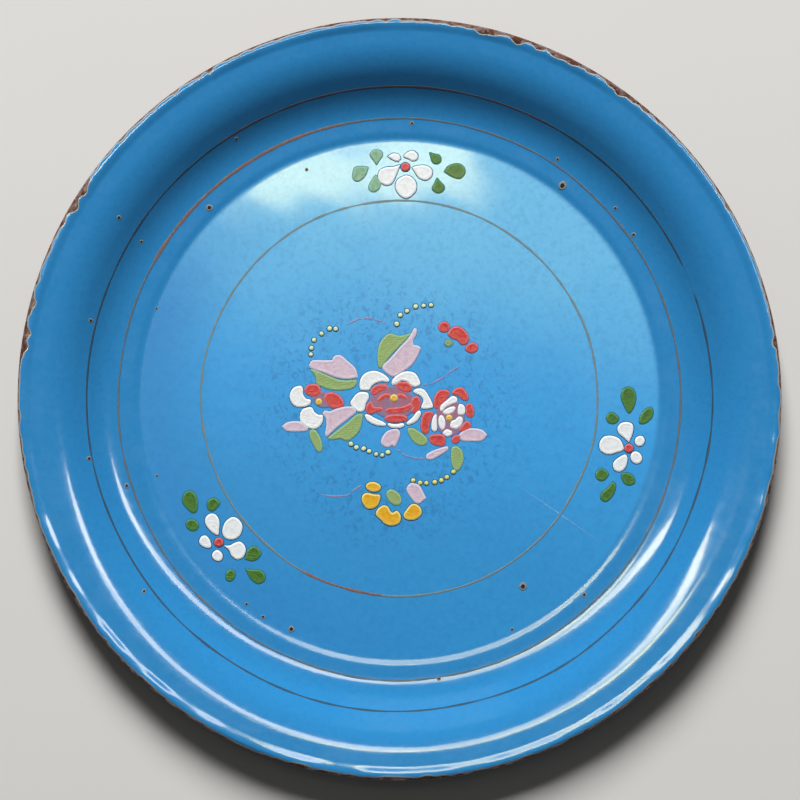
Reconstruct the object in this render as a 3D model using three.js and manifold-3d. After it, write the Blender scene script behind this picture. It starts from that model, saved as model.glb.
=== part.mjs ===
// A round painted tray, pressed from thin sheet steel with its edge rolled over a wire hoop,
// coated in blue enamel on the face and dark enamel on the back, and painted with gold lines,
// three small sprigs and a bouquet. Millimetres, +Z up, origin at the middle of the underside.
import * as THREE from "three";
import { mergeVertices } from "three/addons/utils/BufferGeometryUtils.js";
import Module from "manifold-3d";

const wasm = await Module();
wasm.setup();

// Driving dimensions.
const STEEL = 0.7; // sheet thickness
const ENAMEL = 0.25; // thickness of each enamel coat
const PAINT = 0.12; // height of the gold lines
const DAB = 0.35; // height of the brushed flowers
const LINE_WIDTH = 1;
const HAIR = 0.01; // gap between a coat and what carries it
const FLOOR_RADIUS = 129.8;
const INNER_LINE_RADIUS = 99.4; // the line's inner edge
const FLOOR_FILLET = 16;
const SHELF_RADIUS = 18; // the round that eases the first step into a narrow shelf
const SHELF_LENGTH = 4.4;
const COVE_RADIUS = 32; // the round between the shelf and the wall
const SHOULDER_RADIUS = 35.9; // the round between the wall and the flange
const WALL_LENGTH = 8.49; // the straight part of the wall, along its slope
const WALL_BEFORE_LINE = 1.8;
const FLANGE_LENGTH = 7.57;
const GROOVE_RADIUS = 1.2;
const BEAD_RADIUS = 2.5; // outside of the rolled edge
const WIRE_CLEARANCE = 0.3;
const SPRIG_CIRCLE = 117; // radius on which the three sprigs stand
const FAN_SPREAD = 0.45; // radians between a sprig's leaves
const SPRIG_BLOOM = { centre: 4, reach: 4.6, petals: 5, petalLength: 7, petalWidth: 4.4 };
const SPRIG_LEAVES = [
  { fan: -1, reach: 16, length: 5.5, width: 3 },
  { fan: 0, reach: 24.5, length: 8, width: 3 },
  { fan: 1, reach: 16, length: 5.5, width: 3 },
];
const LEAF_TAPER = 0.7;
const LEAST_WIDTH = 0.12; // share of a dab's width left at its pointed end
const AROUND = 48; // segments round the tray
const WIRE_SIDES = 8;
const DAB_SIDES = 10;
const MERGE = 1e-4; // vertices closer than this are one

// Slopes of the face, in degrees above the horizontal.
const STEP_SLOPE = 11.5;
const SHELF_SLOPE = 4;
const LINE_SLOPE = 6.6; // at the middle line's inner edge
const WALL_SLOPE = 33;
const FLANGE_SLOPE = 6.5;
const BEAD_SLOPE = 45;
const CURL_END_SLOPE = -245;

const radians = THREE.MathUtils.degToRad;

const finishes = {
  steel: { color: 0x8a7a74, roughness: 0.6, metalness: 0.7 },
  wire: { color: 0x77706c, roughness: 0.5, metalness: 0.9 },
  blue: { color: 0x2f8fd0, roughness: 0.12, metalness: 0 },
  navy: { color: 0x16243a, roughness: 0.25, metalness: 0 },
  gold: { color: 0x7d6a45, roughness: 0.45, metalness: 0.3 },
  white: { color: 0xefe9dc, roughness: 0.35, metalness: 0 },
  yellow: { color: 0xedbd2c, roughness: 0.35, metalness: 0 },
  green: { color: 0x5c9140, roughness: 0.35, metalness: 0 },
  pink: { color: 0xe6cfe0, roughness: 0.35, metalness: 0 },
};

const tray = new THREE.Group();
tray.name = "painted_tray";

function addMesh(name, geometry, finish) {
  const mesh = new THREE.Mesh(geometry, new THREE.MeshStandardMaterial(finishes[finish]));
  mesh.name = name;
  tray.add(mesh);
  return mesh;
}

// ---- The sheet's section: one walk along its upper face, from the axis to the curl's end ----

const run = (length, mark) => ({ length, mark });
const turnTo = (slope, radius, steps, mark) => ({ slope, radius, steps, mark });
const lineTurn = LINE_WIDTH / COVE_RADIUS;

const stretches = [
  run(INNER_LINE_RADIUS),
  run(LINE_WIDTH, "inner"),
  run(FLOOR_RADIUS - INNER_LINE_RADIUS - LINE_WIDTH),
  turnTo(radians(STEP_SLOPE), FLOOR_FILLET, 2),
  turnTo(radians(SHELF_SLOPE), SHELF_RADIUS, 2),
  run(SHELF_LENGTH),
  turnTo(radians(LINE_SLOPE), COVE_RADIUS, 1),
  turnTo(radians(LINE_SLOPE) + lineTurn, COVE_RADIUS, 1, "middle"),
  turnTo(radians(WALL_SLOPE), COVE_RADIUS, 3),
  run(WALL_BEFORE_LINE),
  run(LINE_WIDTH, "outer"),
  run(WALL_LENGTH - WALL_BEFORE_LINE - LINE_WIDTH),
  turnTo(radians(FLANGE_SLOPE), SHOULDER_RADIUS, 3),
  run(FLANGE_LENGTH),
  turnTo(radians(BEAD_SLOPE), GROOVE_RADIUS, 2),
  turnTo(radians(CURL_END_SLOPE), BEAD_RADIUS, 11),
];

const stations = [{ r: 0, z: ENAMEL + STEEL, slope: 0 }];
for (const stretch of stretches) {
  const steps = stretch.steps ?? 1;
  const from = stations[stations.length - 1];
  const turn = (stretch.slope ?? from.slope) - from.slope;
  for (let step = 1; step <= steps; step++) {
    const slope = from.slope + (turn * step) / steps;
    // A round stretch's chord from its start has the mean of the two slopes.
    const chord = stretch.length ?? 2 * stretch.radius * Math.sin(Math.abs(slope - from.slope) / 2);
    const heading = (slope + from.slope) / 2;
    const r = from.r + chord * Math.cos(heading);
    const z = from.z + chord * Math.sin(heading);
    stations.push({ r, z, slope, mark: stretch.mark });
  }
}

// Where the bead begins, and where the face's enamel has worn off it, just past the crest.
const beadStart = stations.findIndex((station) => station.slope > radians(BEAD_SLOPE) - 1e-6);
const faceEnd = stations.findIndex((station, at) => at > beadStart && station.slope < 0);
const floorEnd = stations.findIndex((station) => station.slope > 0) - 1;
const flangeEnd = beadStart - 2; // the groove before the bead takes two steps

// The section's points at a distance above (or, if negative, below) the sheet's upper face.
function sectionLine(first, last, above) {
  return stations.slice(first, last + 1).map(({ r, z, slope }) => {
    const outward = Math.max(0, r - above * Math.sin(slope));
    return new THREE.Vector2(outward, z + above * Math.cos(slope));
  });
}

// A ring or dish between two lines of the section, turned round the tray's axis.
function turned(lower, upper, sides = AROUND) {
  const outline = [...lower, ...upper.reverse()];
  if (lower[0].x > 0) outline.push(lower[0].clone());
  const geometry = new THREE.LatheGeometry(outline, sides);
  geometry.rotateX(Math.PI / 2); // LatheGeometry turns round Y
  return geometry;
}

const lastStation = stations.length - 1;
addMesh(
  "steel_pan",
  turned(sectionLine(0, lastStation, -STEEL), sectionLine(0, lastStation, 0)),
  "steel",
);
addMesh("face_enamel", turned(sectionLine(0, faceEnd, HAIR), sectionLine(0, faceEnd, ENAMEL)), "blue");

// The coat underneath, in two pieces: the base that the tray stands on, and the skin under the wall.
const backParts = { base: [0, floorEnd], wall: [floorEnd, flangeEnd] };
for (const [part, [first, last]] of Object.entries(backParts)) {
  const outside = sectionLine(first, last, -STEEL - ENAMEL);
  addMesh(`back_enamel_${part}`, turned(outside, sectionLine(first, last, -STEEL - HAIR)), "navy");
}

// ---- The wire hoop inside the rolled edge ----

function rimWire() {
  const start = stations[beadStart];
  const bead = {
    r: start.r + BEAD_RADIUS * Math.sin(start.slope),
    z: start.z - BEAD_RADIUS * Math.cos(start.slope),
  };
  const wireRadius = BEAD_RADIUS - STEEL - WIRE_CLEARANCE;
  const section = [];
  for (let side = 0; side < WIRE_SIDES; side++) {
    const angle = (2 * Math.PI * side) / WIRE_SIDES;
    const across = wireRadius * Math.cos(angle);
    section.push(new THREE.Vector2(bead.r + across, bead.z + wireRadius * Math.sin(angle)));
  }
  section.push(section[0].clone());
  const geometry = new THREE.LatheGeometry(section, AROUND);
  geometry.rotateX(Math.PI / 2);
  return geometry;
}
addMesh("rim_wire", rimWire(), "wire");

// ---- The three gold lines, laid on the face's enamel ----

for (const mark of ["inner", "middle", "outer"]) {
  const outerEdge = stations.findIndex((station) => station.mark === mark);
  const band = turned(
    sectionLine(outerEdge - 1, outerEdge, ENAMEL + HAIR),
    sectionLine(outerEdge - 1, outerEdge, ENAMEL + PAINT),
  );
  addMesh(`gold_line_${mark}`, band, "gold");
}

// ---- The brushed flowers, raised on the floor's enamel ----

const paintedFloor = 2 * ENAMEL + STEEL + HAIR;

// A brush dab as a solid: an oval pointed by `taper` (0 is an ellipse, 1 comes to a point).
function dab({ x = 0, y = 0, length, width, angle = 0, taper = 0 }) {
  const outline = [];
  const origin = new THREE.Vector2(0, 0);
  for (let side = 0; side < DAB_SIDES; side++) {
    const a = (2 * Math.PI * side) / DAB_SIDES;
    const narrowing = Math.max(1 - (taper * (1 + Math.cos(a))) / 2, LEAST_WIDTH);
    const point = new THREE.Vector2((length / 2) * Math.cos(a), (width / 2) * Math.sin(a) * narrowing);
    outline.push(point.rotateAround(origin, angle).add(new THREE.Vector2(x, y)));
  }
  const prism = new THREE.ExtrudeGeometry(new THREE.Shape(outline), { depth: DAB, bevelEnabled: false });
  return solidOf(prism);
}

function solidOf(geometry) {
  const bare = geometry.clone();
  bare.deleteAttribute("normal");
  bare.deleteAttribute("uv");
  const merged = mergeVertices(bare, MERGE);
  return new wasm.Manifold(
    new wasm.Mesh({
      numProp: 3,
      vertProperties: merged.attributes.position.array,
      triVerts: new Uint32Array(merged.index.array),
    }),
  );
}

// One body joined from dabs that touch, as a mesh standing on the floor's enamel.
function painted(name, dabs, finish) {
  const joined = dabs.reduce((sum, piece) => sum.add(piece));
  const mesh = joined.getMesh();
  const geometry = new THREE.BufferGeometry();
  geometry.setAttribute("position", new THREE.BufferAttribute(mesh.vertProperties, 3));
  geometry.setIndex(new THREE.BufferAttribute(mesh.triVerts, 1));
  return addMesh(name, geometry, finish);
}

// A centre with a ring of petals that overlap it.
function flower({ centre, reach, petals, petalLength, petalWidth }, turn = 0) {
  const dabs = [dab({ length: centre, width: centre })];
  for (let petal = 0; petal < petals; petal++) {
    const angle = turn + (2 * Math.PI * petal) / petals;
    const place = { x: reach * Math.cos(angle), y: reach * Math.sin(angle), angle };
    dabs.push(dab({ ...place, length: petalLength, width: petalWidth }));
  }
  return dabs;
}

function leaf(length, width, angle) {
  return [dab({ length, width, angle, taper: LEAF_TAPER })];
}

// Three five-petalled sprigs, each with a fan of three leaves on either side, along the floor's edge.
const sprigs = { top: 88.6, left: 218.8, right: 347.5 };
for (const [place, azimuth] of Object.entries(sprigs)) {
  const angle = radians(azimuth);
  const bloom = painted(`sprig_${place}_flower`, flower(SPRIG_BLOOM, angle), "white");
  bloom.position.set(SPRIG_CIRCLE * Math.cos(angle), SPRIG_CIRCLE * Math.sin(angle), paintedFloor);
  for (const side of [-1, 1]) {
    for (const { fan, reach, length, width } of SPRIG_LEAVES) {
      const out = angle + (side * Math.PI) / 2 + fan * FAN_SPREAD;
      const name = `sprig_${place}_leaf_${side < 0 ? "a" : "b"}${fan + 2}`;
      const blade = painted(name, leaf(length, width, out), "green");
      blade.position.copy(bloom.position);
      blade.position.x += reach * Math.cos(out);
      blade.position.y += reach * Math.sin(out);
    }
  }
}

// The bouquet's three flowers, and its leaves round them: place, sizes and direction.
const blooms = {
  middle: { x: -4, y: 0, centre: 12, reach: 11, petals: 9, petalLength: 14, petalWidth: 10, finish: "white" },
  left: { x: -41, y: -2, centre: 7, reach: 5, petals: 5, petalLength: 8, petalWidth: 6, finish: "pink" },
  right: { x: 25, y: -10.4, centre: 8, reach: 6, petals: 7, petalLength: 9, petalWidth: 6, finish: "yellow" },
};
for (const [place, bloom] of Object.entries(blooms)) {
  const mesh = painted(`bouquet_${place}_flower`, flower(bloom), bloom.finish);
  mesh.position.set(bloom.x, bloom.y, paintedFloor);
}

const leaves = {
  top: { x: 3, y: 29, length: 18, width: 12, angle: 60 },
  upper_left: { x: -34, y: 16, length: 20, width: 11, angle: 170 },
  lower_left: { x: -30, y: -18, length: 16, width: 7, angle: 150 },
  bottom: { x: 2, y: -23, length: 18, width: 5, angle: 10 },
  right: { x: 29, y: -31, length: 12, width: 5, angle: 90 },
};
for (const [place, { x, y, length, width, angle }] of Object.entries(leaves)) {
  const mesh = painted(`bouquet_leaf_${place}`, leaf(length, width, radians(angle)), "green");
  mesh.position.set(x, y, paintedFloor);
}

export default tray;
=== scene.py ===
"""A round painted tray: blue enamel over pressed sheet steel, a rolled rim worn bare, three gold
lines, three sprigs and a bouquet in raised brush dabs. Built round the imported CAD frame, in metres."""

import math
import random

import bmesh
import bpy
import numpy as np
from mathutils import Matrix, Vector
from mathutils.geometry import delaunay_2d_cdt


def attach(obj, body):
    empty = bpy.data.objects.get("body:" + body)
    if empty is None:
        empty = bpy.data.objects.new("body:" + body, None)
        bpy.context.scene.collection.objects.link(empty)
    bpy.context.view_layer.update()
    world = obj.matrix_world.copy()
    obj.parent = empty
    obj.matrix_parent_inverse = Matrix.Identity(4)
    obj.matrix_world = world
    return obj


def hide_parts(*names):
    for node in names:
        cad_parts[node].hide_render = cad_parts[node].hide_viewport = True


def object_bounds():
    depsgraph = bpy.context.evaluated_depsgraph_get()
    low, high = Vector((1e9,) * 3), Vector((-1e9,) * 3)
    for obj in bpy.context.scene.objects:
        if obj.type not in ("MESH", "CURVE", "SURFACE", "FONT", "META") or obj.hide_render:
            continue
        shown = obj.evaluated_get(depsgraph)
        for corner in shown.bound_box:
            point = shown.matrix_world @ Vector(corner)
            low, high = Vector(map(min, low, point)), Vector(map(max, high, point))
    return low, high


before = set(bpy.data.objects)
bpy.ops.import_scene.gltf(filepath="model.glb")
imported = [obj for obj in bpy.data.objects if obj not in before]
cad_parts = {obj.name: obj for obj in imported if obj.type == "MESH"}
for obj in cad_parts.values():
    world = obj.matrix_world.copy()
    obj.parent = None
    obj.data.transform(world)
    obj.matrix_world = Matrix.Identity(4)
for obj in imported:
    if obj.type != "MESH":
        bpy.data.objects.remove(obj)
CAD_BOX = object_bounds()

MM = 0.001
TAU = 2 * math.pi

# ---------------------------------------------------------------- the tray's section, in millimetres

STEEL = 0.7
ENAMEL = 0.25
FACE_GAP, COAT_GAP = 0.02, 0.01  # what parts each coat from the sheet
FLOOR_RADIUS = 129.8
FLOOR_FILLET = 16
SHELF_RADIUS = 18
SHELF_LENGTH = 4.4
COVE_RADIUS = 32
SHOULDER_RADIUS = 35.9
WALL_LENGTH = 8.49
FLANGE_LENGTH = 7.57
GROOVE_RADIUS = 1.2
BEAD_RADIUS = 2.5
WIRE_CLEARANCE = 0.3
STEP_SLOPE, SHELF_SLOPE, WALL_SLOPE = math.radians(11.5), math.radians(4), math.radians(33)
FLANGE_SLOPE, BEAD_SLOPE, CURL_END_SLOPE = math.radians(6.5), math.radians(45), math.radians(-245)

AROUND = 720
FLOOR_TOP = 2 * ENAMEL + STEEL


class Section:
    """The sheet's upper face from the axis to the curl's end, by distance s along it."""

    def __init__(self):
        self.table = [(0.0, 0.0, ENAMEL + STEEL, 0.0)]  # s, radius, height, slope
        self.run(FLOOR_RADIUS)
        self.turn(STEP_SLOPE, FLOOR_FILLET)
        self.turn(SHELF_SLOPE, SHELF_RADIUS)
        self.run(SHELF_LENGTH)
        self.turn(WALL_SLOPE, COVE_RADIUS)
        self.run(WALL_LENGTH)
        self.turn(FLANGE_SLOPE, SHOULDER_RADIUS)
        self.run(FLANGE_LENGTH)
        self.flange_end = self.table[-1][0]
        self.turn(BEAD_SLOPE, GROOVE_RADIUS)
        self.bead_start = self.table[-1][0]
        self.crest = self.bead_start + BEAD_RADIUS * BEAD_SLOPE
        self.turn(CURL_END_SLOPE, BEAD_RADIUS)
        self.length = self.table[-1][0]
        self.columns = np.array(self.table).T

    def step(self, length, slope):
        s, r, z, old = self.table[-1]
        heading = (old + slope) / 2
        r, z = r + length * math.cos(heading), z + length * math.sin(heading)
        self.table.append((s + length, r, z, slope))

    def run(self, length):
        for _ in range(8):
            self.step(length / 8, self.table[-1][3])

    def turn(self, slope, radius):
        start = self.table[-1][3]
        steps = max(8, int(abs(slope - start) * 40))
        for i in range(1, steps + 1):
            self.step(radius * abs(slope - start) / steps, start + (slope - start) * i / steps)

    def at(self, s):
        """Radius, height and slope at distance s, which may be an array."""
        along, r, z, slope = self.columns
        return np.interp(s, along, r), np.interp(s, along, z), np.interp(s, along, slope)

    def s_at_radius(self, radius):
        """Distance along the face to a radius inside the bead."""
        s, r = self.columns[0], self.columns[1]
        inside = s <= self.bead_start
        return float(np.interp(radius, r[inside], s[inside]))


SECTION = Section()


def ring_noise(seed, lowest, highest):
    """A smooth random curve round the tray, within about -1 to 1, as a function of azimuth in radians."""
    draw = random.Random(seed)
    waves = [(k, draw.uniform(0, TAU), draw.uniform(0.5, 1)) for k in range(lowest, highest + 1)]
    scale = 1.6 / math.sqrt(sum(a * a for _, _, a in waves))

    def curve(azimuth):
        return scale * sum(a * np.cos(k * azimuth + phase) for k, phase, a in waves)

    return curve


bead_wobble = ring_noise(3, 5, 40)


def ease(x, low, high):
    t = np.clip((x - low) / (high - low), 0, 1)
    return t * t * (3 - 2 * t)


RIM_WAVE = 0.16
RIM_DROP = 0.24  # keeps the wavy rim under the drawn height
FRONT_DROP = 0.42
FRONT_AZIMUTH, FRONT_WIDTH = 268, 48  # degrees


def rim_rise(azimuth):
    """How far the rim stands off its drawn height, in millimetres: it waves, and sinks at the front."""
    front = np.exp(-(((np.degrees(azimuth) % 360 - FRONT_AZIMUTH) / FRONT_WIDTH) ** 2))
    return RIM_WAVE * np.tanh(0.9 * bead_wobble(azimuth)) - RIM_DROP - FRONT_DROP * front


def ripple(x, y):
    """The enamel's slow unevenness, in millimetres."""
    return (
        0.020 * np.sin(x / 17 + 1.1) * np.sin(y / 21 + 0.4)
        + 0.012 * np.sin(x / 9.1 - y / 13 + 2.0)
        + 0.006 * np.sin(x / 5.3 + y / 4.7)
    )


LIP_START = SECTION.flange_end - 2.2


def on_section(s, azimuth, above, rippled=False, poured=False):
    """Points at distance s along the sheet, `above` millimetres off its upper face, in metres.
    Poured enamel fills the groove before the rim's bead in one easy sweep."""
    r, z, slope = SECTION.at(s)
    rim = ease(s, SECTION.flange_end - 1.5, SECTION.bead_start)
    rise = rim * rim_rise(azimuth)
    radius = np.maximum(r - above * np.sin(slope) - 0.04 * rim, 0)
    height = z + above * np.cos(slope) + rise
    if poured:
        (r0, z0, slope0), (r1, z1, _) = SECTION.at(LIP_START), SECTION.at(SECTION.crest)
        t = np.clip((r - r0) / (r1 - r0), 0, 1)
        climb = (z1 + rim_rise(azimuth) - z0) * t * t * (3 - 2 * t)
        climb = climb + (r1 - r0) * np.tan(slope0) * t * (1 - t) ** 2
        in_lip = (s > LIP_START) & (s < SECTION.crest)
        height = np.where(in_lip, z0 + above + climb, height)
        radius = np.where(in_lip, r - 0.04 * rim, radius)
    x, y = radius * np.cos(azimuth), radius * np.sin(azimuth)
    if rippled:
        height = height + ripple(x, y)
    return np.stack([x, y, np.broadcast_to(height, x.shape)], axis=-1) * MM


def on_floor(x, y, above):
    """A point on the enamelled floor, x and y in millimetres, in metres."""
    return (x * MM, y * MM, (FLOOR_TOP + float(ripple(x, y)) + above) * MM)


# ---------------------------------------------------------------- mesh making


def new_piece(name, vertices, faces, materials, replaces=(), material_of=None):
    mesh = bpy.data.meshes.new(name)
    mesh.from_pydata([tuple(v) for v in vertices], [], [tuple(int(i) for i in f) for f in faces])
    for material in materials:
        mesh.materials.append(material)
    mesh.polygons.foreach_set("use_smooth", [True] * len(mesh.polygons))
    if material_of is not None:
        mesh.polygons.foreach_set("material_index", material_of)
    mesh.update()
    piece = bpy.data.objects.new(name, mesh)
    bpy.context.scene.collection.objects.link(piece)
    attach(piece, "root")
    if replaces:
        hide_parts(*replaces)
    return piece


def add_values(piece, name, values):
    attribute = piece.data.attributes.new(name, "FLOAT", "POINT")
    attribute.data.foreach_set("value", np.asarray(values, dtype=np.float32))


def add_bake_map(piece, uv_of_vertex):
    """A texture layout of the piece's own, with one place for each vertex."""
    layer = piece.data.uv_layers.new(name="OFBake")
    loops = np.empty(len(piece.data.loops), dtype=np.int32)
    piece.data.loops.foreach_get("vertex_index", loops)
    layer.data.foreach_set("uv", np.asarray(uv_of_vertex, dtype=np.float32)[loops].ravel())


def closed_grid(rows, around):
    """Faces of a tube of rings: rows x around vertices, wrapped both ways."""
    faces = []
    for i in range(rows):
        for j in range(around):
            a, b = i * around + j, i * around + (j + 1) % around
            c, d = (i + 1) % rows * around + (j + 1) % around, (i + 1) % rows * around + j
            faces.append((a, b, c, d))
    return faces


def dish(name, upper, lower, around, materials, replaces):
    """A closed thin dish: rings of points (rows, around, 3) from the middle outwards, capped on the axis."""
    rows_up, rows_low = len(upper), len(lower)
    rings = np.concatenate([upper, lower[::-1]])
    vertices = list(rings.reshape(-1, 3))
    faces = []
    for i in range(rows_up + rows_low - 1):
        for j in range(around):
            a, b = i * around + j, i * around + (j + 1) % around
            faces.append((a, a + around, b + around, b))
    top, bottom = len(vertices), len(vertices) + 1
    vertices.append(upper[0].mean(axis=0))
    vertices.append(lower[0].mean(axis=0))
    last = (rows_up + rows_low - 1) * around
    for j in range(around):
        faces.append((top, j, (j + 1) % around))
        faces.append((bottom, last + (j + 1) % around, last + j))
    return new_piece(name, vertices, faces, materials, replaces)


# ---------------------------------------------------------------- materials


class Nodes:
    """A short way to write a procedural material."""

    def __init__(self, name):
        self.material = bpy.data.materials.new(name)
        self.material.use_nodes = True
        self.tree = self.material.node_tree
        self.shader = self.tree.nodes["Principled BSDF"]
        self.coordinates = self.tree.nodes.new("ShaderNodeTexCoord").outputs["Object"]

    def put(self, socket, value):
        if hasattr(value, "links"):
            self.tree.links.new(value, socket)
        elif isinstance(value, tuple) and len(value) == 3 and socket.type == "RGBA":
            socket.default_value = (*value, 1)
        else:
            socket.default_value = value

    def set(self, **sockets):
        for name, value in sockets.items():
            self.put(self.shader.inputs[name.replace("_", " ")], value)

    def noise(self, scale, detail=3.0, roughness=0.55, stretch=None, distortion=0.0):
        node = self.tree.nodes.new("ShaderNodeTexNoise")
        node.inputs["Scale"].default_value = scale
        node.inputs["Detail"].default_value = detail
        node.inputs["Roughness"].default_value = roughness
        node.inputs["Distortion"].default_value = distortion
        source = self.coordinates
        if stretch:
            mapping = self.tree.nodes.new("ShaderNodeMapping")
            mapping.inputs["Scale"].default_value = stretch
            self.tree.links.new(source, mapping.inputs["Vector"])
            source = mapping.outputs["Vector"]
        self.tree.links.new(source, node.inputs["Vector"])
        return node.outputs["Fac"]

    def value_of(self, attribute):
        node = self.tree.nodes.new("ShaderNodeAttribute")
        node.attribute_name = attribute
        return node.outputs["Fac"]

    def math(self, operation, a, b=0.0):
        node = self.tree.nodes.new("ShaderNodeMath")
        node.operation = operation
        self.put(node.inputs[0], a)
        self.put(node.inputs[1], b)
        return node.outputs[0]

    def remap(self, value, low, high, to_low=0.0, to_high=1.0):
        node = self.tree.nodes.new("ShaderNodeMapRange")
        node.interpolation_type = "SMOOTHSTEP"
        self.put(node.inputs["Value"], value)
        self.put(node.inputs["From Min"], low)
        self.put(node.inputs["From Max"], high)
        self.put(node.inputs["To Min"], to_low)
        self.put(node.inputs["To Max"], to_high)
        return node.outputs["Result"]

    def mix(self, factor, a, b):
        node = self.tree.nodes.new("ShaderNodeMix")
        node.data_type = "RGBA"
        self.put(node.inputs["Factor"], factor)
        self.put(node.inputs[6], a)
        self.put(node.inputs[7], b)
        return node.outputs[2]

    def place(self, axis):
        split = self.tree.nodes.new("ShaderNodeSeparateXYZ")
        self.tree.links.new(self.coordinates, split.inputs[0])
        return split.outputs[axis]

    def plus(self, a, b):
        return self.math("ADD", a, b)

    def times(self, a, b):
        return self.math("MULTIPLY", a, b)

    def mix_value(self, factor, a, b):
        return self.remap(factor, 0.0, 1.0, a, b)

    def distance_from(self, x, y):
        """Level distance from a vertical line through (x, y), in metres."""
        dx = self.math("SUBTRACT", self.place("X"), x)
        dy = self.math("SUBTRACT", self.place("Y"), y)
        return self.math("SQRT", self.plus(self.times(dx, dx), self.times(dy, dy)))

    def bump(self, height, distance, under=None):
        node = self.tree.nodes.new("ShaderNodeBump")
        node.inputs["Strength"].default_value = 1
        node.inputs["Distance"].default_value = distance
        self.put(node.inputs["Height"], height)
        if under is not None:
            self.put(node.inputs["Normal"], under)
        return node.outputs["Normal"]


def srgb(red, green, blue):
    """A colour given as 0-255 display values, as the linear triple that shaders use."""
    shares = (red / 255, green / 255, blue / 255)
    return tuple(v / 12.92 if v <= 10 / 255 else ((v + 0.055) / 1.055) ** 2.4 for v in shares)


RUST = srgb(98, 58, 44)
RUST_DARK = srgb(44, 28, 26)
BARE_METAL = srgb(168, 146, 142)
GROUND_COAT = srgb(176, 180, 172)


def blue_enamel():
    n = Nodes("blue_enamel")
    reach = n.distance_from(0.0, 0.0)
    floor = n.remap(reach, 0.1322, 0.1285)
    broad = n.noise(14, 2)
    fine = n.noise(420, 4, 0.6)
    # Painted reflection: the floor's colour is lighter towards the back, where the overhead lights' hazy
    # reflection falls.
    back = n.plus(n.place("Y"), n.times(n.place("X"), 0.15))
    back = n.plus(back, n.times(n.math("SUBTRACT", broad, 0.5), 0.06))
    base = n.mix(n.remap(back, -0.085, 0.015), srgb(42, 156, 223), srgb(50, 170, 241))
    base = n.mix(n.remap(back, -0.005, 0.095), base, srgb(106, 199, 247))
    # To the left and front this painted reflection thins out well before the floor's edge.
    thin = n.times(n.remap(n.place("X"), 0.05, -0.07), n.remap(back, 0.09, 0.03))
    thin = n.times(thin, n.remap(reach, 0.086, 0.130))
    base = n.mix(thin, base, srgb(40, 148, 218))
    colour = n.mix(floor, srgb(50, 145, 208), base)
    colour = n.mix(n.remap(fine, 0.40, 0.75, 0, 0.22), colour, srgb(30, 116, 186))
    # Soft dark wrinkles where the picture was rubbed, thickest round the bouquet.
    near = n.distance_from(-6 * MM, -6 * MM)
    around = n.times(n.remap(near, 0.016, 0.036), n.remap(near, 0.078, 0.052))
    wrinkles = n.noise(400, 3, 0.55, stretch=(1.0, 0.8, 1.0), distortion=1.0)
    share = n.plus(n.times(around, 0.30), 0.05)
    colour = n.mix(n.times(n.remap(wrinkles, 0.52, 0.64), share), colour, srgb(22, 92, 158))
    # The coat's broken edge shows pale ground coat, then rust.
    edge = n.plus(n.value_of("edge"), n.times(n.math("SUBTRACT", n.noise(900, 3), 0.5), 0.5))
    colour = n.mix(n.remap(edge, 1.05, 0.45), colour, GROUND_COAT)
    colour = n.mix(n.remap(edge, 0.26, 0.12), colour, RUST)
    # The floor is hazy with use; the sides keep their gloss.
    rough = n.mix_value(floor, n.remap(n.noise(90, 3), 0.3, 0.7, 0.12, 0.17), 0.36)
    uneven = n.bump(n.noise(130, 2, 0.4), 0.00006)
    orange_peel = n.bump(n.noise(260, 2, 0.4), 0.00002, under=uneven)
    # The gloss is rubbed down along the floor's front edge.
    rubbed = n.times(n.remap(reach, 0.1250, 0.1280), n.remap(reach, 0.1375, 0.1345))
    rubbed = n.times(rubbed, n.remap(n.place("Y"), 0.02, -0.03))
    n.set(
        Base_Color=colour,
        Roughness=rough,
        Coat_Weight=n.mix_value(rubbed, 1.0, 0.45),
        Coat_Roughness=0.06,
        Normal=n.bump(n.noise(1500, 2), 0.000003, under=orange_peel),
    )
    return n.material


def dark_enamel():
    n = Nodes("dark_enamel")
    colour = n.mix(n.remap(n.noise(60, 4), 0.3, 0.7), srgb(20, 30, 48), srgb(30, 44, 68))
    colour = n.mix(n.remap(n.noise(900, 2), 0.70, 0.78), colour, srgb(120, 130, 140))
    reach = n.distance_from(0.0, 0.0)
    foot = n.times(n.remap(reach, 0.117, 0.127), n.remap(reach, 0.1325, 0.129))
    worn = n.times(foot, n.remap(n.noise(170, 4), 0.45, 0.62))
    colour = n.mix(worn, colour, RUST)
    rough = n.remap(worn, 0.0, 1.0, 0.22, 0.7)
    n.set(Base_Color=colour, Roughness=rough, Normal=n.bump(n.noise(300, 2), 0.00008))
    return n.material


def bare_steel():
    n = Nodes("bare_steel")
    patches = n.noise(240, 5, 0.65)
    grain = n.noise(1600, 3, 0.6)
    colour = n.mix(n.remap(patches, 0.40, 0.58), BARE_METAL, RUST)
    colour = n.mix(n.remap(n.noise(420, 4), 0.55, 0.68), colour, RUST_DARK)
    colour = n.mix(n.remap(grain, 0.3, 0.8, 0, 0.4), colour, srgb(60, 40, 34))
    metal = n.remap(patches, 0.42, 0.55, 0.55, 0.0)
    rough = n.remap(patches, 0.4, 0.6, 0.42, 0.85)
    n.set(Base_Color=colour, Metallic=metal, Roughness=rough, Normal=n.bump(n.noise(800, 5), 0.00016))
    return n.material


def wire_steel():
    n = Nodes("wire_steel")
    drawn = n.noise(500, 4, 0.6)
    n.set(
        Base_Color=n.mix(n.remap(drawn, 0.4, 0.65), srgb(120, 114, 110), RUST),
        Metallic=n.remap(drawn, 0.4, 0.65, 0.9, 0.2),
        Roughness=n.remap(drawn, 0.35, 0.65, 0.35, 0.7),
        Normal=n.bump(drawn, 0.00008),
    )
    return n.material


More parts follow.
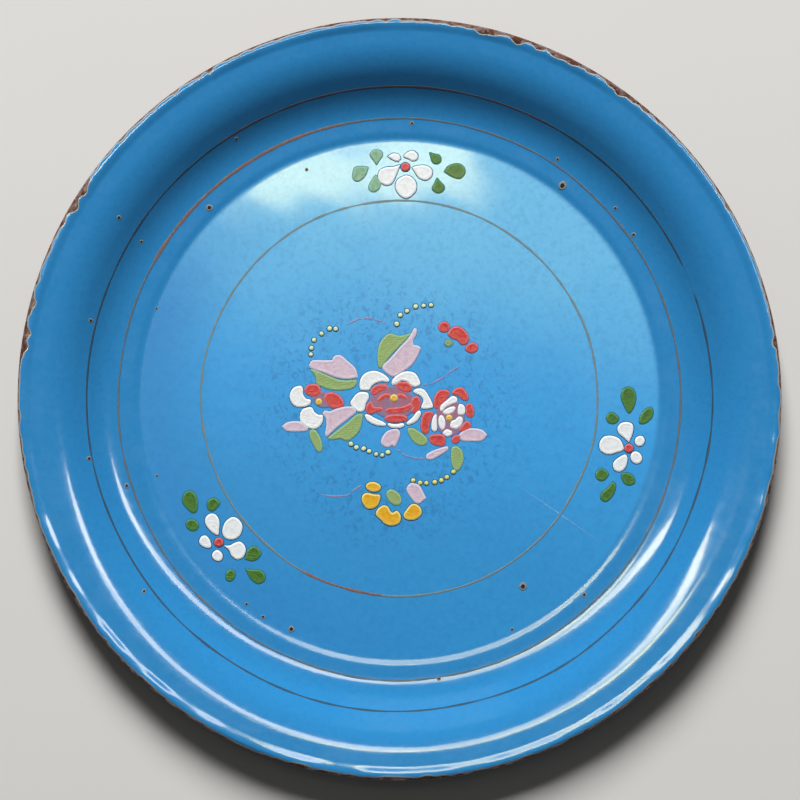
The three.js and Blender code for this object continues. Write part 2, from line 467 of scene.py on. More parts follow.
def gold_paint(line, pale, shaded):
    """A gold line's paint, dulled by age to the two given colours where it isn't copper."""
    n = Nodes(f"gold_paint_{line}")
    strokes = n.noise(700, 4, 0.6)
    dull = n.mix(n.remap(strokes, 0.3, 0.7), pale, shaded)
    copper = n.mix(n.remap(strokes, 0.3, 0.7), srgb(156, 108, 84), srgb(112, 100, 106))
    n.set(
        Base_Color=n.mix(n.value_of("copper"), dull, copper),
        Metallic=0.2,
        Roughness=n.remap(n.noise(300, 3), 0.3, 0.7, 0.30, 0.5),
        Normal=n.bump(strokes, 0.00003),
    )
    return n.material


def brushed_paint(name, edge_colour, middle_colour, deep_colour, bevel=1.0):
    """Thick paint, lighter where it piled up at a dab's edge, tinted in the middle."""
    n = Nodes(name)
    inward = n.plus(n.value_of("inward"), n.times(n.math("SUBTRACT", n.noise(650, 3), 0.5), 1.1))
    colour = n.mix(n.remap(inward, 0.35 * bevel, 1.25 * bevel), edge_colour, middle_colour)
    patches = n.times(n.remap(n.noise(480, 3, 0.6), 0.42, 0.66), n.remap(inward, 0.6, 1.6))
    colour = n.mix(patches, colour, deep_colour)
    furrows = n.noise(950, 3, 0.55)
    n.set(
        Base_Color=colour,
        Roughness=n.remap(n.noise(500, 2), 0.3, 0.7, 0.22, 0.40),
        Normal=n.bump(furrows, 0.00008),
    )
    return n.material


def painted_dab_shadow():
    """A painted shadow: the dark blue line that stands round each raised dab."""
    n = Nodes("painted_dab_shadow")
    colour = n.mix(n.remap(n.noise(700, 3), 0.3, 0.7), srgb(16, 78, 116), srgb(24, 96, 148))
    n.set(Base_Color=colour, Roughness=0.2)
    return n.material


def pit_rust():
    n = Nodes("pit_rust")
    colour = n.mix(n.remap(n.noise(1400, 3), 0.4, 0.6), srgb(26, 30, 36), srgb(52, 38, 34))
    n.set(Base_Color=colour, Roughness=0.8)
    return n.material


def pit_lip():
    n = Nodes("pit_lip")
    n.set(Base_Color=n.mix(n.noise(1500, 3), srgb(120, 150, 160), srgb(150, 128, 112)), Roughness=0.35)
    return n.material


# ---------------------------------------------------------------- the metal and its coats


def section_rows(first, last, gap):
    count = max(1, int(math.ceil((last - first) / gap)))
    return [first + (last - first) * i / count for i in range(count)]


AZIMUTHS = np.arange(AROUND) * TAU / AROUND
FLOOR_END = FLOOR_RADIUS - 1.0
WALL_END = SECTION.s_at_radius(179.0)

# Chips in the rim's enamel: azimuth and half width in degrees, how far in they reach in millimetres.
RIM_CHIPS = [
    (50.5, 1.2, 0.8),
    (54.0, 2.6, 1.5),
    (59.5, 0.8, 0.7),
    (63.5, 2.9, 1.2),
    (68.0, 0.9, 2.0),
    (71.5, 1.6, 0.9),
    (76.5, 1.9, 1.6),
    (120.0, 1.0, 1.2),
    (148.0, 3.4, 2.2),
    (152.5, 1.2, 1.3),
    (166.5, 1.5, 1.6),
    (171.5, 2.8, 2.4),
    (195.0, 0.9, 0.9),
    (228.0, 0.8, 0.7),
    (268.0, 1.6, 0.7),
    (300.0, 1.2, 1.0),
    (322.0, 1.5, 0.9),
    (340.0, 0.8, 0.8),
    (8.0, 1.0, 0.9),
    (30.0, 1.2, 0.8),
]
BARE_FROM = SECTION.bead_start + BEAD_RADIUS * (BEAD_SLOPE + math.radians(38))


def enamel_end(azimuth):
    """How far along the section the face's enamel reaches, at each azimuth."""
    ragged = 0.22 * ring_noise(11, 30, 170)(azimuth) + 0.18 * ring_noise(12, 4, 24)(azimuth)
    degrees = np.degrees(azimuth)
    worn = ease(degrees, 40, 55) * (1 - ease(degrees, 78, 120))
    end = BARE_FROM + ragged - 0.9 * worn
    for centre, half_width, depth in RIM_CHIPS:
        away = (np.degrees(azimuth) - centre + 180) % 360 - 180
        notch = np.clip(1 - (away / half_width) ** 2, 0, None) ** 0.6
        end = end - depth * notch * (1 + 0.35 * ring_noise(int(centre), 40, 170)(azimuth))
    return end


MAP_HALF_WIDTH = 0.195  # metres of the tray from the map's middle to its side
FACE_SHARE = 0.995
HIDDEN_PLACE, HIDDEN_HALF_WIDTH = 0.06, 0.055


def make_face_enamel(material):
    fixed = section_rows(0.9, FLOOR_END, 3.2) + section_rows(FLOOR_END, WALL_END, 0.75)
    end = enamel_end(AZIMUTHS)
    shares = np.linspace(0, 1, 36)
    upper_s = [np.full(AROUND, s) for s in fixed] + [WALL_END + (end - WALL_END) * f for f in shares]
    coarse = section_rows(0.9, FLOOR_END, 16) + section_rows(FLOOR_END, WALL_END, 3)
    lower_s = [np.full(AROUND, s) for s in coarse] + [WALL_END + (end - WALL_END) * f for f in shares[::3]]
    lower_s.append(end)
    # The coat thins over its last millimetre.
    left = [end - s for s in upper_s]
    upper = np.stack(
        [on_section(s, AZIMUTHS, ENAMEL * (0.45 + 0.55 * ease(gap, 0, 0.5)), True, True)
         for s, gap in zip(upper_s, left)]
    )
    lower = np.stack([on_section(s, AZIMUTHS, FACE_GAP) for s in lower_s])
    piece = dish("enamel_face", upper, lower, AROUND, [material], ["face_enamel"])
    gaps = np.concatenate([np.stack(left).ravel(), np.zeros(len(lower_s) * AROUND), [100.0, 100.0]])
    add_values(piece, "edge", gaps)
    # The face's picture fills the map; the hidden lower side is small in one corner.
    flat = np.array([v.co[:2] for v in piece.data.vertices])
    layout = 0.5 + flat / (2 * MAP_HALF_WIDTH) * FACE_SHARE
    hidden = np.arange(len(flat)) >= len(upper_s) * AROUND
    upper_middle = -2  # dish adds the two middle points last
    hidden[upper_middle] = False
    layout[hidden] = HIDDEN_PLACE + flat[hidden] / MAP_HALF_WIDTH * HIDDEN_HALF_WIDTH
    add_bake_map(piece, layout)
    return piece


def make_back_enamel(material):
    around = 360
    azimuths = np.arange(around) * TAU / around
    rows = section_rows(1.0, FLOOR_END, 8) + section_rows(FLOOR_END, SECTION.flange_end - 0.4, 1.2)
    rows.append(SECTION.flange_end - 0.4)
    upper = np.stack([on_section(np.full(around, s), azimuths, -STEEL - COAT_GAP) for s in rows])
    lower = np.stack([on_section(np.full(around, s), azimuths, -STEEL - ENAMEL) for s in rows])
    piece = dish("enamel_back", upper, lower, around, [material],
                 ["back_enamel_base", "back_enamel_wall"])
    return piece


def make_steel_pan(material):
    rows = section_rows(1.0, FLOOR_END, 12) + section_rows(FLOOR_END, SECTION.flange_end, 2.0)
    rows += section_rows(SECTION.flange_end, SECTION.length, 0.3) + [SECTION.length]
    upper = np.stack([on_section(np.full(AROUND, s), AZIMUTHS, 0) for s in rows])
    lower = np.stack([on_section(np.full(AROUND, s), AZIMUTHS, -STEEL) for s in rows])
    return dish("pressed_pan", upper, lower, AROUND, [material], ["steel_pan"])


def make_rim_wire(material):
    around, sides = 360, 14
    r, z, slope = SECTION.at(SECTION.bead_start)
    middle_r, middle_z = r + BEAD_RADIUS * math.sin(slope), z - BEAD_RADIUS * math.cos(slope)
    radius = BEAD_RADIUS - STEEL - WIRE_CLEARANCE
    vertices = []
    for i in range(sides):
        angle = TAU * i / sides
        for j in range(around):
            turn = TAU * j / around
            reach = middle_r + radius * math.cos(angle)
            height = middle_z + radius * math.sin(angle) + float(rim_rise(turn))
            vertices.append((reach * math.cos(turn) * MM, reach * math.sin(turn) * MM, height * MM))
    return new_piece("wire_hoop", vertices, closed_grid(sides, around), [material], ["rim_wire"])


# ---------------------------------------------------------------- gold lines


def make_gold_line(name, node, radius, seed, material, copper_spans, gaps=()):
    """A hand-drawn line: width, height and colour wander, copper where the brush was reloaded."""
    around = 1440
    azimuths = np.arange(around) * TAU / around
    degrees = np.degrees(azimuths)
    wide = 0.60 + 0.08 * ring_noise(seed, 6, 60)(azimuths)
    copper = np.zeros(around)
    for start, end, thicker, share in copper_spans:
        span = ease(degrees, start, start + 6) * (1 - ease(degrees, end - 2, end))
        copper = np.maximum(copper, share * span)
        wide = wide + thicker * span
    present = np.ones(around)
    for start, end in gaps:
        present = present * (1 - ease(degrees, start - 1, start + 1) * (1 - ease(degrees, end - 1, end + 1)))
    wide = np.clip(wide, 0.38, None) * np.clip(present, 0.12, None)
    middle = SECTION.s_at_radius(radius) + 0.12 * ring_noise(seed + 1, 2, 14)(azimuths)
    profile = [(-1, -0.03), (-0.8, 0.035), (-0.35, 0.06), (0.35, 0.06), (0.8, 0.035), (1, -0.03), (0, -0.05)]
    rings = []
    for across, above in profile:
        raised = ENAMEL + above * np.where(present > 0.5, 1, 0.3)
        rings.append(on_section(middle + across * wide, azimuths, raised, True))
    vertices = np.concatenate(rings)
    piece = new_piece(name, vertices, closed_grid(len(profile), around), [material], [node])
    add_values(piece, "copper", np.tile(copper, len(profile)))
    return piece


# ---------------------------------------------------------------- brush dabs: outlines in millimetres


LOOP_SPACING, STROKE_SPACING = 0.4, 0.5
DAB_LIFT = 0.02
# The painted shadow ring round each dab lies this high on the enamel.
HALO_HEIGHT = 0.006
ROOT_DEPTH = -0.06  # how far a dab reaches into the enamel


def curve_point(p0, p1, p2, p3, t):
    """The point at share t of the way from p1 to p2 on a smooth curve through all four."""
    square = (2 * p0 - 5 * p1 + 4 * p2 - p3) * t * t
    cube = (-p0 + 3 * p1 - 3 * p2 + p3) * t**3
    return (2 * p1 + (p2 - p0) * t + square + cube) / 2


def smooth_loop(points, corners=()):
    """A closed curve through the points, rounded everywhere but at the numbered corners."""
    pts = [Vector(p) for p in points]
    loop = []
    for i in range(len(pts)):
        p0, p1, p2, p3 = (pts[(i + k - 1) % len(pts)] for k in range(4))
        if i in corners:
            p0 = p1 - (p2 - p1) * 0.5
        if (i + 1) % len(pts) in corners:
            p3 = p2 + (p2 - p1) * 0.5
        steps = max(2, int((p2 - p1).length / LOOP_SPACING))
        loop += [curve_point(p0, p1, p2, p3, k / steps) for k in range(steps)]
    return loop


def drop(tip, end, width):
    """A teardrop dab from its tip to the far end of its head."""
    tip, end = Vector(tip), Vector(end)
    along = end - tip
    side = Vector((-along.y, along.x)).normalized() * width / 2
    stations = [(0.0, 0.04), (0.22, 0.38), (0.62, 1.0), (0.90, 0.66), (1.0, 0.02)]
    left = [tip + along * t + side * w for t, w in stations]
    right = [tip + along * t - side * w for t, w in reversed(stations[1:-1])]
    return smooth_loop([*left, *right])


def oval(centre, length, width, angle=0.0):
    turn = math.radians(angle)
    steps = max(12, int((length + width) * 1.6 / LOOP_SPACING))
    loop = []
    for i in range(steps):
        a = TAU * i / steps
        x, y = math.cos(a) * length / 2, math.sin(a) * width / 2
        loop.append(Vector((
            centre[0] + x * math.cos(turn) - y * math.sin(turn),
            centre[1] + x * math.sin(turn) + y * math.cos(turn),
        )))
    return loop


def stroke(points, width, start=0.35, end=0.35):
    """A brush stroke along a curve through the points; start and end are its widths there, as shares."""
    path = []
    pts = [Vector(p) for p in points]
    for i in range(len(pts) - 1):
        p0 = pts[i - 1] if i else pts[i] * 2 - pts[i + 1]
        p3 = pts[i + 2] if i + 2 < len(pts) else pts[i + 1] * 2 - pts[i]
        steps = max(2, int((pts[i + 1] - pts[i]).length / STROKE_SPACING))
        last = i == len(pts) - 2
        path += [curve_point(p0, pts[i], pts[i + 1], p3, k / steps) for k in range(steps + last)]
    left, right = [], []
    for i, p in enumerate(path):
        t = i / (len(path) - 1)
        forward = path[min(i + 1, len(path) - 1)] - path[max(i - 1, 0)]
        side = Vector((-forward.y, forward.x)).normalized()
        swell = start + (1 - start) * float(ease(t, 0, 0.35))
        swell = min(swell, end + (1 - end) * float(ease(1 - t, 0, 0.35)))
        left.append(p + side * width / 2 * swell)
        right.append(p - side * width / 2 * swell)
    return left + right[::-1]


def area_of(loop):
    return sum(a.x * b.y - b.x * a.y for a, b in zip(loop, loop[1:] + loop[:1])) / 2


def outward(loop):
    """The outward direction at each point of an anticlockwise outline."""
    out = []
    for i in range(len(loop)):
        forward = loop[(i + 1) % len(loop)] - loop[i - 1]
        out.append(Vector((forward.y, -forward.x)).normalized())
    return out


def distance_to_loop(points, loop):
    """Distance from each point to the closed outline, and whether it lies inside."""
    a = np.array([(p.x, p.y) for p in loop])
    b = np.roll(a, -1, axis=0)
    p = np.asarray(points)[:, None, :]
    edge = b - a
    t = np.clip(((p - a) * edge).sum(-1) / np.maximum((edge * edge).sum(-1), 1e-12), 0, 1)
    nearest = a + t[..., None] * edge
    distance = np.sqrt(((p - nearest) ** 2).sum(-1)).min(axis=1)
    crosses = (a[:, 1] > p[..., 1]) != (b[:, 1] > p[..., 1])
    rise = np.where(np.abs(edge[:, 1]) < 1e-12, 1e-12, edge[:, 1])
    crossing = a[:, 0] + (p[..., 1] - a[:, 1]) / rise * edge[:, 0]
    inside = (crosses & (p[..., 0] < crossing)).sum(axis=1) % 2 == 1
    return distance, inside


PICTURE_SCALE = 0.996  # the picture's size on the tray, against the outlines below


class Dabs:
    """The dabs of one colour in one motif, gathered into a single mesh."""

    def __init__(self, seed):
        self.draw = random.Random(seed)
        self.vertices, self.faces, self.kinds, self.inward = [], [], [], []

    def add(self, loop, height=0.34, grain=0.42, halo=0.42, furrow=0.03, grow=0.0):
        loop = [p * PICTURE_SCALE for p in loop]
        if area_of(loop) < 0:
            loop = loop[::-1]
        if grow:
            loop = [p + out * grow for p, out in zip(loop, outward(loop))]
        xs, ys = [p.x for p in loop], [p.y for p in loop]
        jitter = self.draw.uniform(0, grain)
        grid = [
            (x + (row % 2) * grain / 2, y)
            for row, y in enumerate(np.arange(min(ys) + jitter, max(ys), grain * 0.87))
            for x in np.arange(min(xs) + jitter, max(xs), grain)
        ]
        inner = []
        if grid:
            distance, inside = distance_to_loop(grid, loop)
            inner = [g for g, d, ok in zip(grid, distance, inside) if ok and d > grain * 0.55]
        count = len(loop)
        points = [Vector((p.x, p.y)) for p in loop] + [Vector(g) for g in inner]
        edges = [(i, (i + 1) % count) for i in range(count)]
        flat, _, triangles, _, _, _ = delaunay_2d_cdt(points, edges, [], 1, 1e-5)
        distance, _ = distance_to_loop([(p.x, p.y) for p in flat], loop)
        self.place(flat, triangles, distance, count, height, halo, furrow)

    def place(self, flat, triangles, distance, count, height, halo, furrow):
        bevel = min(0.75, max(0.25, float(distance.max()) * 0.7))
        lean = self.draw.uniform(0, TAU)
        base = len(self.vertices)
        for p, d in zip(flat, distance):
            edge = 1 - (1 - min(d / bevel, 1.0)) ** 2
            sag = 0.18 * float(ease(d, bevel * 0.8, bevel * 2.6))
            across = p.x * math.cos(lean) + p.y * math.sin(lean)
            ridges = furrow * math.sin(across * 6.3 + 2 * math.sin(p.x + p.y))
            rise = height * (math.sqrt(edge) - sag) + ridges * min(d / bevel, 1.0)
            self.vertices.append(on_floor(p.x, p.y, rise + DAB_LIFT))
            self.inward.append(float(d))
        self.faces += [tuple(base + i for i in t) for t in triangles]
        self.kinds += [0] * len(triangles)
        under = len(self.vertices)
        for p in flat:
            self.vertices.append(on_floor(p.x, p.y, ROOT_DEPTH))
            self.inward.append(0.0)
        self.faces += [tuple(under + i for i in reversed(t)) for t in triangles]
        self.kinds += [0] * len(triangles)
        self.skirt(flat[:count], base, under, count, halo)

    def skirt(self, loop, top, under, count, halo):
        """A thin flat ring round the dab and the walls that close the mesh, in its second material: a
        painted shadow for most paints.
        """
        ring = len(self.vertices)
        low = ring + count
        for above in (HALO_HEIGHT, ROOT_DEPTH):
            for p, out in zip(loop, outward(loop)):
                self.vertices.append(on_floor(p.x + out.x * halo, p.y + out.y * halo, above))
                self.inward.append(0.0)
        for i in range(count):
            j = (i + 1) % count
            self.faces.append((top + j, top + i, ring + i, ring + j))
            self.faces.append((ring + j, ring + i, low + i, low + j))
            self.faces.append((low + j, low + i, under + i, under + j))
            self.kinds += [1, 1, 1]

    def make(self, name, materials, replaces=()):
        piece = new_piece(name, self.vertices, self.faces, materials, replaces, material_of=self.kinds)
        add_values(piece, "inward", self.inward)
        return piece


# ---------------------------------------------------------------- the picture, in millimetres


def sprig_top():
    whites = [
        smooth_loop([(-6, 122.9), (-3.2, 124.4), (-0.5, 123.8), (0.4, 121.8), (-1, 120.2),
            (-3.6, 121.2)], corners=[0]),
        smooth_loop([(2.3, 122.8), (4.1, 125), (7, 125.6), (9.2, 123.8), (9, 121.6), (7, 120.5),
            (4.5, 121.6)]),
        smooth_loop([(0.4, 118.7), (-1.5, 113.8), (-3.6, 109.4), (-6.5, 108), (-9.8, 109.6),
            (-10.9, 112.6), (-10, 115.6), (-7, 117.2), (-2.8, 117.6)], corners=[0]),
        smooth_loop([(6.4, 117.2), (9, 118), (13.1, 118.2), (16.3, 116.2), (16.3, 112.8),
            (13.6, 110.7), (10.2, 111.6), (8.2, 114.2)], corners=[0]),
        smooth_loop([(2.6, 113), (5.7, 112.5), (8.2, 109.7), (8.5, 105.9), (6.2, 102.7), (3.2, 101.4),
            (0, 103.1), (-2, 106.7), (-1.2, 110.6)]),
    ]
    greens = [
        smooth_loop([(22.6, 114.9), (24.9, 118), (29.3, 119.2), (32.6, 117.7), (33.4, 114.4),
            (31, 111.5), (27, 112.2)], corners=[0]),
        drop((15.2, 124.8), (20.6, 119.6), 5.2),
        drop((19.0, 111.8), (20.2, 104.0), 6.4),
        drop((-11.6, 118.6), (-11.8, 126.4), 6.6),
        smooth_loop([(-23.9, 112.2), (-23, 116.8), (-20.3, 117.8), (-15.8, 117.4), (-17, 113.6),
            (-19.6, 110.6), (-22.3, 110.2)], corners=[3]),
        smooth_loop([(-12.2, 113.4), (-9.8, 110.6), (-9.8, 107.1), (-12.2, 104.8), (-15, 105.2),
            (-15.4, 108.4)], corners=[0]),
    ]
    return whites, oval((3.0, 117.4), 4.5, 4.5), greens


def sprig_left():
    whites = [
        smooth_loop([(-91.5, -69.4), (-93.7, -68.6), (-96.4, -66.2), (-98, -63.2), (-97.6, -60.3),
            (-95, -58.6), (-92.4, -59.5), (-90.9, -62.4), (-91, -66.2)]),
        smooth_loop([(-89.3, -68.4), (-88.6, -64.3), (-86.4, -61.4), (-83.6, -60.4), (-80.8, -61.9),
            (-79.2, -65.3), (-80.5, -69.5), (-83.7, -71.7), (-87.4, -71.2)]),
        smooth_loop([(-88.5, -74.7), (-85.6, -74.7), (-83.1, -73.4), (-80.4, -72.8), (-78.2, -74.6),
            (-77.5, -77.3), (-78.9, -80.6), (-81.9, -81.7), (-84.5, -79.9), (-86, -77)], corners=[0]),
        smooth_loop([(-94.5, -79.9), (-93.5, -77.7), (-91.5, -77), (-89.4, -78.8), (-89.3, -81.2),
            (-90.9, -82.6), (-93.4, -81.8)]),
        smooth_loop([(-101, -72.4), (-99.7, -70.1), (-97.6, -69.8), (-95.8, -71.7), (-94.9, -74.7),
            (-95.6, -75.9), (-98, -75.7), (-100.2, -74.4)]),
    ]
    greens = [
        smooth_loop([(-109.6, -50.8), (-108.1, -47.9), (-105.2, -47), (-102.9, -49.2),
            (-101.8, -52.8), (-102.2, -57.1), (-104.3, -58.3), (-107, -56.3), (-109.2, -53.7)]),
        smooth_loop([(-97.1, -53.5), (-95.8, -51.3), (-93.2, -50.7), (-90.6, -53.2), (-91.9, -55.5),
            (-94.2, -57.4), (-96.6, -56.5)]),
        oval((-104.5, -64.4), 6.6, 5.8, 150),
        smooth_loop([(-77.9, -81.6), (-76.9, -77.7), (-74.6, -75.4), (-71.9, -75.4), (-69.7, -78.6),
            (-71.3, -81.3), (-74.3, -82.5)], corners=[0]),
        oval((-85.2, -89.7), 6.2, 4.8, 70),
        smooth_loop([(-77.8, -86.2), (-74.2, -86.8), (-70.4, -87), (-67.8, -89.3), (-68.1, -92.5),
            (-71, -94), (-74, -92.5), (-76.1, -89.7)], corners=[0]),
    ]
    return whites, oval((-91.1, -73.1), 4.6, 4.6), greens


def sprig_right():
    whites = [
        smooth_loop([(115.9, -22.7), (113.5, -20.4), (110.9, -18.2), (110.2, -15.3), (112, -13),
            (115, -12.4), (117.6, -13.4), (118.2, -16), (117.3, -19.6)], corners=[0]),
        smooth_loop([(113.2, -25.2), (111.3, -21.2), (107.5, -19.4), (103.4, -19.8), (101.2, -22.6),
            (101.2, -26.1), (103.8, -28.4), (106.9, -28.7), (110.1, -27.7), (112.4, -27)]),
        oval((121.4, -22.0), 5.4, 4.9, 60),
        oval((119.6, -30.4), 6.4, 5.6, 120),
        smooth_loop([(113.6, -28.9), (115, -29.9), (115, -32.5), (113.8, -35.8), (111.3, -37.5),
            (108.6, -36.6), (107.8, -33.6), (109.8, -31)]),
    ]
    greens = [
        smooth_loop([(115.9, -8), (113.6, -4.4), (112, 0.2), (112.9, 3.9), (115.4, 5.4), (118.3, 4.3),
            (119.6, 1), (119.3, -2.6), (117.8, -6.2)]),
        smooth_loop([(104.5, -10), (106, -7.7), (108.6, -7.8), (110.9, -10.4), (109.9, -12.6),
            (107.5, -13.4), (105.3, -12.4)]),
        smooth_loop([(121.2, -12.8), (122.1, -8.5), (124.7, -5.6), (127.4, -4.9), (128.3, -7.4),
            (127.4, -10.6), (124, -13.2)]),
        smooth_loop([(99.1, -38.5), (100.8, -36.1), (103.4, -36.2), (105.6, -38.8), (103.8, -41.4),
            (101.5, -42.2), (99.4, -40.7)]),
        smooth_loop([(112, -38.6), (115.8, -38.1), (118.4, -40.3), (118.6, -43.3), (115.8, -44.4),
            (113.1, -42.9)]),
        smooth_loop([(107.8, -42.2), (109.2, -44.2), (108.6, -47.8), (106.4, -51.2), (103.8, -52.7),
            (101.5, -51.2), (101.9, -48.2), (104.9, -45.6)], corners=[0]),
    ]
    return whites, oval((115.9, -25.7), 4.6, 4.6), greens


def middle_flower():
    whites = [
        smooth_loop([(-19.9, 4.6), (-19.8, 8.7), (-17.4, 12.1), (-13, 13.4), (-8.9, 12.2),
            (-5.6, 9.6), (-5.8, 7.9), (-9.5, 8.2), (-13.6, 6.4), (-15.4, 4), (-18.4, 3.8)]),
        smooth_loop([(-3.7, 6.7), (-3.4, 9), (-0.2, 11.8), (3.4, 13.1), (7.2, 12.5), (9.2, 10.4),
            (10.4, 6.9), (8.1, 5.5), (5.7, 6.3), (4.2, 7.9), (1, 8.6), (-1.9, 6.9)]),
        smooth_loop([(-24.6, -3.4), (-23.6, -0.6), (-20.6, 2.4), (-16.4, 2.3), (-15.7, -0.1),
            (-17.1, -3), (-18.2, -6.6), (-21.2, -6.9)]),
        smooth_loop([(7.2, 2.8), (8.6, 4.3), (12.1, 4), (14.8, 0.5), (16.8, -4.2), (15.6, -5.4),
            (11.6, -5.6), (11.2, -4.4), (12.2, -1.8), (11, 0.6)]),
        smooth_loop([(-17.4, -8.9), (-15.4, -8.9), (-12.4, -10.6), (-7.5, -12.9), (-7.5, -14.3),
            (-11.9, -13.9), (-16, -11.7)]),
        smooth_loop([(-5.8, -13.2), (-2, -13.7), (1.6, -13.1), (2.2, -14.2), (0.4, -15.3),
            (-4.2, -15.1)]),
        smooth_loop([(10.1, -6.8), (10.7, -8.3), (8.6, -11.8), (5.1, -13.6), (3.7, -12.9),
            (6.6, -10.2), (8.7, -7.5)]),
    ]
    reds = [
        smooth_loop([(-14.2, 1.8), (-13.9, 4.4), (-10.7, 6.3), (-6.4, 6.3), (-6.8, 4.8), (-9.5, 3.2),
            (-12, 1.5)]),
        smooth_loop([(-1.6, 6.7), (0.4, 7.7), (4.4, 7.3), (6, 5.2), (5.4, 3.2), (2.2, 3), (-0.7, 4.9)]),
        stroke([(-11.2, -1.6), (-7.6, 0.7), (-4.8, 1.0)], 1.9, 0.3, 0.6),
        stroke([(-1.2, 1.0), (1.4, 0.7), (3.7, -0.6)], 1.9, 0.6, 0.3),
        smooth_loop([(-16, -3.2), (-16.8, -5.4), (-15.9, -7.8), (-13.7, -8.2), (-12, -7.3),
            (-9, -6.6), (-9, -5.3), (-11.9, -5.1), (-13.4, -4.6), (-14.3, -2.3)]),
        smooth_loop([(6.9, -0.3), (9, 0.4), (10.4, -1.9), (10, -5.4), (8, -7.6), (6.5, -7.2),
            (6.9, -4.8), (6.2, -2.2)]),
        smooth_loop([(-6.8, -7), (-5.9, -5.7), (-0.4, -5.1), (3.4, -4.2), (5.6, -3), (6, -4.8),
            (3.9, -6.9), (-0.7, -7.7), (-4.8, -8)]),
        smooth_loop([(-7.2, -10.1), (-4.2, -9), (1, -8.9), (3.9, -10.3), (2.2, -12), (-3.7, -12.4),
            (-6.5, -11.5)]),
    ]
    return whites, reds, [oval((-2.8, -0.3), 4.0, 3.9)]


def left_flower():
    whites = [
        smooth_loop([(-55.4, 1.3), (-53.6, 4.7), (-50.2, 5.8), (-49, 4.4), (-48.9, 1.6),
            (-47.4, -0.6), (-45.1, -1.3), (-45.5, -3.4), (-48.4, -4.6), (-52.2, -4.5), (-54.7, -2.1)]),
        smooth_loop([(-50.3, -9.6), (-49.3, -6.5), (-46.7, -5.2), (-44.4, -5.2), (-43.1, -7.4),
            (-40.9, -8.9), (-38.9, -9.2), (-39.2, -12.6), (-41.6, -15.4), (-45, -15.6), (-47.8, -14.2),
            (-49.8, -12.2)]),
    ]
    reds = [
        smooth_loop([(-47.8, 4.2), (-45.9, 6.3), (-42.5, 6.5), (-40.2, 4.7), (-40.3, 2.2),
            (-42.2, 0.8), (-45, 1), (-47.1, 2.2)]),
        smooth_loop([(-37.8, -0.4), (-37, 1.8), (-34, 2.4), (-30.6, 0.9), (-28.5, -2.1),
            (-28.7, -4.2), (-30.9, -5.2), (-34.5, -5.1), (-36, -3.3)]),
    ]
    return whites, reds, [oval((-40.8, -2.2), 3.2, 3.6)]


def right_flower():
    whites = [
        smooth_loop([(20.7, -6.4), (21, -4.1), (24.1, -1.4), (26.8, 0.6), (28.9, -0.3), (28.9, -2.3),
            (26.2, -3.4), (23.6, -4.6), (21.5, -6.9)]),
        smooth_loop([(22.1, -7.5), (23.7, -5.9), (26.6, -4.7), (28.2, -5.2), (26.8, -7.6),
            (23.8, -8.5)]),
        smooth_loop([(29.9, -4.2), (31.1, -3.4), (32.8, -4.7), (32.9, -7.9), (31.3, -8.8), (29.6, -8)]),
        smooth_loop([(25.7, -13.9), (26.4, -12.1), (28.2, -11.3), (30.1, -9.7), (31.8, -10.6),
            (31.2, -13.8), (28.9, -15.7), (26.3, -15.3)]),
        smooth_loop([(21.8, -18.1), (23.7, -16.2), (26.2, -17.1), (26.3, -18.6),
            (24.1, -19.7)], corners=[0]),
        oval((21.4, -12.6), 7.2, 3.2, 96),
        smooth_loop([(16.4, -12.4), (17.3, -9.6), (18.6, -8.6), (18.7, -11.4), (18.8, -16),
            (17.8, -17.1), (16.4, -16)]),
    ]
    reds = [
        smooth_loop([(17.6, -3.8), (17.8, 0), (19.9, 3.2), (23.6, 3.7), (25.1, 2.1), (23.4, -1),
            (21, -3.3), (18.9, -5.6)]),
        smooth_loop([(26.8, 2.2), (28.8, 4.6), (31.9, 4.6), (34.2, 1.6), (34.4, -0.9), (32.4, -1.1),
            (29.8, 1)]),
        smooth_loop([(33.9, -4.1), (36, -3.2), (37.4, -6.2), (37.1, -9.2), (35, -9.8), (33.8, -7.6)]),
        smooth_loop([(30.4, -16.4), (31.9, -14), (34, -12), (35.8, -13.4), (35.3, -15.5),
            (32.6, -17.1)]),
        smooth_loop([(26.4, -21.3), (28.2, -19.4), (31, -19.4), (29.8, -22.2), (27.5, -23)]),
        smooth_loop([(15.2, -19.8), (17.8, -18.9), (21.9, -19.2), (23, -21.8), (21.9, -24.3),
            (17.8, -23.8), (15.8, -22.3)]),
        smooth_loop([(11.1, -16.1), (11.2, -11.4), (12.7, -7.9), (16.2, -7.3), (16.6, -8.9),
            (15.1, -13), (14.5, -17.1), (13, -18.2)]),
    ]
    return whites, reds, [oval((25.1, -10.3), 3.2, 3.2)]


